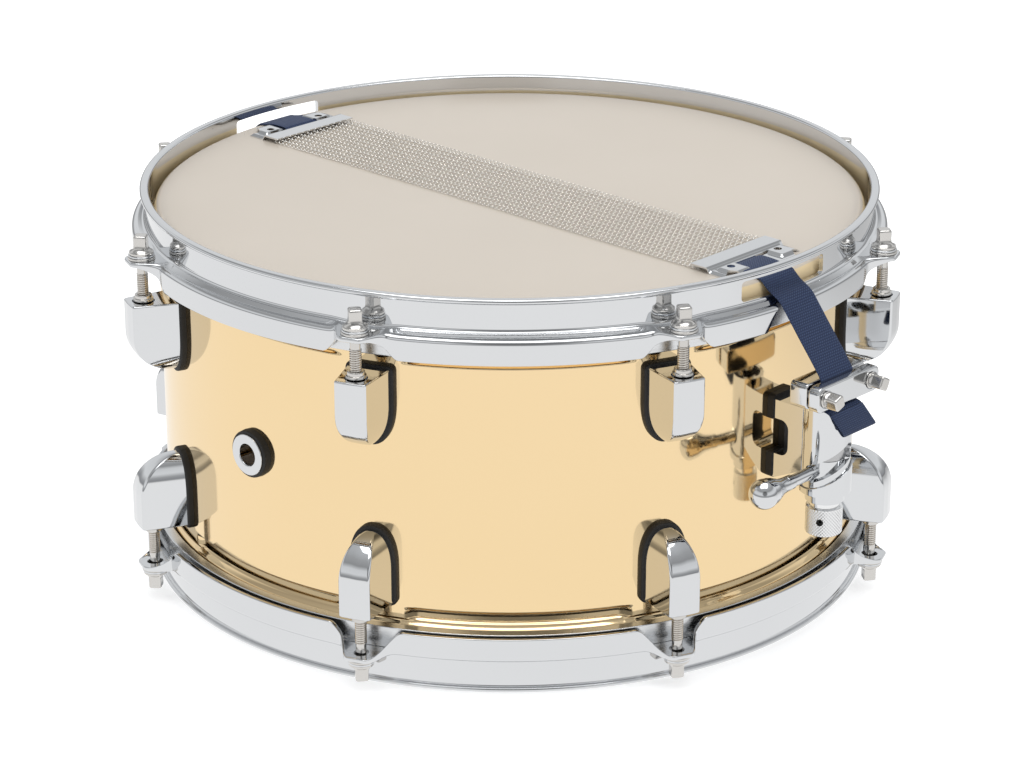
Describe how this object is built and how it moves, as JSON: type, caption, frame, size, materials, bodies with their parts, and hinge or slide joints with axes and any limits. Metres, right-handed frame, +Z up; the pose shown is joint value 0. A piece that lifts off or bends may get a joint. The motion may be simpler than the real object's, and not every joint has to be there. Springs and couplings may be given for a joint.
{
  "type": "snare drum",
  "caption": "Metal-shell snare drum, snare side up, with pressed hoops, single-ended lugs, key-headed tension rods, snare wires and a lever throw-off.",
  "frame": {"origin": "centre of the plane that the batter hoop's rim rests on", "axes": "+Z up along the drum's axis towards the snare side, +X towards the snare throw-off, -X towards the butt end, -Y towards the air vent"},
  "size_m": [0.4392, 0.38, 0.1966],
  "materials": {
    "shell_brass": "polished, lightly brushed, clear lacquer",
    "hoop_aluminium": "satin, lightly brushed round the ring",
    "snare_film": "thin hazy translucent polyester film",
    "batter_film": "white coated polyester film, slightly rough",
    "black_rubber": "matte moulded rubber",
    "navy_ribbon": "woven grosgrain ribbon",
    "snare_wire_steel": "bright drawn wire, coiled",
    "nickel_steel": "nickel plated",
    "plain_steel": "zinc plated",
    "knurled_chrome": "chrome with a fine diamond knurl",
    "chrome": "mirror chrome plate"
  },
  "bodies": {
    "root": {"shell": "shell_brass", "vent_grommet": "chrome", "vent_ring": "black_rubber", "batter_head": "batter_film", "batter_flesh_hoop": "hoop_aluminium", "batter_hoop": "chrome", "snare_head": "snare_film", "snare_flesh_hoop": "hoop_aluminium", "snare_hoop": "chrome", "batter_side_lugs": "chrome", "snare_side_lugs": "chrome", "lug_gaskets": "black_rubber", "lug_nuts": "nickel_steel", "lug_nut_springs": "plain_steel", "lug_screws": "plain_steel", "lug_screw_washers": "plain_steel", "rod_lower_washers": "nickel_steel", "rod_upper_washers": "nickel_steel", "strainer_base": "chrome", "strainer_gasket": "black_rubber", "strainer_collar": "chrome", "strainer_screws": "plain_steel", "butt_base": "chrome", "butt_gasket": "black_rubber", "butt_screws": "plain_steel", "butt_clamp_plate": "chrome", "butt_clamp_screws": "nickel_steel", "snare_wires": "snare_wire_steel", "strainer_end_plate": "chrome", "butt_end_plate": "chrome", "strainer_ribbon": "navy_ribbon", "butt_ribbon": "navy_ribbon"},
    "carriage": {"strainer_piston": "chrome", "piston_nut": "plain_steel"},
    "lever": {"lever_arm": "chrome", "lever_knob": "chrome"},
    "adjuster": {"adjuster_shaft": "nickel_steel", "adjuster_knob": "knurled_chrome", "adjuster_set_screw": "plain_steel"},
    "clamp": {"clamp_block": "chrome", "clamp_plate": "chrome", "clamp_screws": "nickel_steel"},
    "snare_rod_1": {"snare_rod_1": "nickel_steel"},
    "snare_rod_2": {"snare_rod_2": "nickel_steel"},
    "snare_rod_3": {"snare_rod_3": "nickel_steel"},
    "snare_rod_4": {"snare_rod_4": "nickel_steel"},
    "snare_rod_5": {"snare_rod_5": "nickel_steel"},
    "snare_rod_6": {"snare_rod_6": "nickel_steel"},
    "snare_rod_7": {"snare_rod_7": "nickel_steel"},
    "snare_rod_8": {"snare_rod_8": "nickel_steel"},
    "batter_rod_1": {"batter_rod_1": "nickel_steel"},
    "batter_rod_2": {"batter_rod_2": "nickel_steel"},
    "batter_rod_3": {"batter_rod_3": "nickel_steel"},
    "batter_rod_4": {"batter_rod_4": "nickel_steel"},
    "batter_rod_5": {"batter_rod_5": "nickel_steel"},
    "batter_rod_6": {"batter_rod_6": "nickel_steel"},
    "batter_rod_7": {"batter_rod_7": "nickel_steel"},
    "batter_rod_8": {"batter_rod_8": "nickel_steel"}
  },
  "joints": [
    {"name": "lever_swing", "type": "hinge", "parent": "carriage", "child": "lever", "pos_m": [0.206, 0, 0.0978], "axis": [0, 0, 1], "range_deg": [0, 110]},
    {"name": "piston_lift", "type": "slide", "parent": "root", "child": "carriage", "axis": [0, 0, 1], "range_m": [0, 0.01], "deforming": ["strainer_ribbon"]},
    {"name": "adjuster_turn", "type": "hinge", "parent": "root", "child": "adjuster", "pos_m": [0.206, 0, 0.072], "axis": [0, 0, 1], "range_deg": [-540, 1080]},
    {"name": "clamp_travel", "type": "slide", "parent": "carriage", "child": "clamp", "axis": [0, 0, 1], "range_m": [-0.0015, 0.003], "deforming": ["strainer_ribbon"]},
    {"name": "snare_rod_1_turn", "type": "hinge", "parent": "root", "child": "snare_rod_1", "pos_m": [0.17923, -0.07424, 0.187], "axis": [0, 0, 1], "continuous": true},
    {"name": "snare_rod_2_turn", "type": "hinge", "parent": "root", "child": "snare_rod_2", "pos_m": [0.17923, 0.07424, 0.187], "axis": [0, 0, 1], "continuous": true},
    {"name": "snare_rod_3_turn", "type": "hinge", "parent": "root", "child": "snare_rod_3", "pos_m": [0.07424, 0.17923, 0.187], "axis": [0, 0, 1], "continuous": true},
    {"name": "snare_rod_4_turn", "type": "hinge", "parent": "root", "child": "snare_rod_4", "pos_m": [-0.07424, 0.17923, 0.187], "axis": [0, 0, 1], "continuous": true},
    {"name": "snare_rod_5_turn", "type": "hinge", "parent": "root", "child": "snare_rod_5", "pos_m": [-0.17923, 0.07424, 0.187], "axis": [0, 0, 1], "continuous": true},
    {"name": "snare_rod_6_turn", "type": "hinge", "parent": "root", "child": "snare_rod_6", "pos_m": [-0.17923, -0.07424, 0.187], "axis": [0, 0, 1], "continuous": true},
    {"name": "snare_rod_7_turn", "type": "hinge", "parent": "root", "child": "snare_rod_7", "pos_m": [-0.07424, -0.17923, 0.187], "axis": [0, 0, 1], "continuous": true},
    {"name": "snare_rod_8_turn", "type": "hinge", "parent": "root", "child": "snare_rod_8", "pos_m": [0.07424, -0.17923, 0.187], "axis": [0, 0, 1], "continuous": true},
    {"name": "batter_rod_1_turn", "type": "hinge", "parent": "root", "child": "batter_rod_1", "pos_m": [0.17923, -0.07424, 0.0096], "axis": [0, 0, 1], "continuous": true},
    {"name": "batter_rod_2_turn", "type": "hinge", "parent": "root", "child": "batter_rod_2", "pos_m": [0.17923, 0.07424, 0.0096], "axis": [0, 0, 1], "continuous": true},
    {"name": "batter_rod_3_turn", "type": "hinge", "parent": "root", "child": "batter_rod_3", "pos_m": [0.07424, 0.17923, 0.0096], "axis": [0, 0, 1], "continuous": true},
    {"name": "batter_rod_4_turn", "type": "hinge", "parent": "root", "child": "batter_rod_4", "pos_m": [-0.07424, 0.17923, 0.0096], "axis": [0, 0, 1], "continuous": true},
    {"name": "batter_rod_5_turn", "type": "hinge", "parent": "root", "child": "batter_rod_5", "pos_m": [-0.17923, 0.07424, 0.0096], "axis": [0, 0, 1], "continuous": true},
    {"name": "batter_rod_6_turn", "type": "hinge", "parent": "root", "child": "batter_rod_6", "pos_m": [-0.17923, -0.07424, 0.0096], "axis": [0, 0, 1], "continuous": true},
    {"name": "batter_rod_7_turn", "type": "hinge", "parent": "root", "child": "batter_rod_7", "pos_m": [-0.07424, -0.17923, 0.0096], "axis": [0, 0, 1], "continuous": true},
    {"name": "batter_rod_8_turn", "type": "hinge", "parent": "root", "child": "batter_rod_8", "pos_m": [0.07424, -0.17923, 0.0096], "axis": [0, 0, 1], "continuous": true}
  ],
  "couplings": [
    {"joint": "piston_lift", "follows": "lever_swing", "m_per_rad": 0.005208},
    {"joint": "adjuster_turn", "follows": "clamp_travel", "rad_per_m": 6283.2}
  ]
}
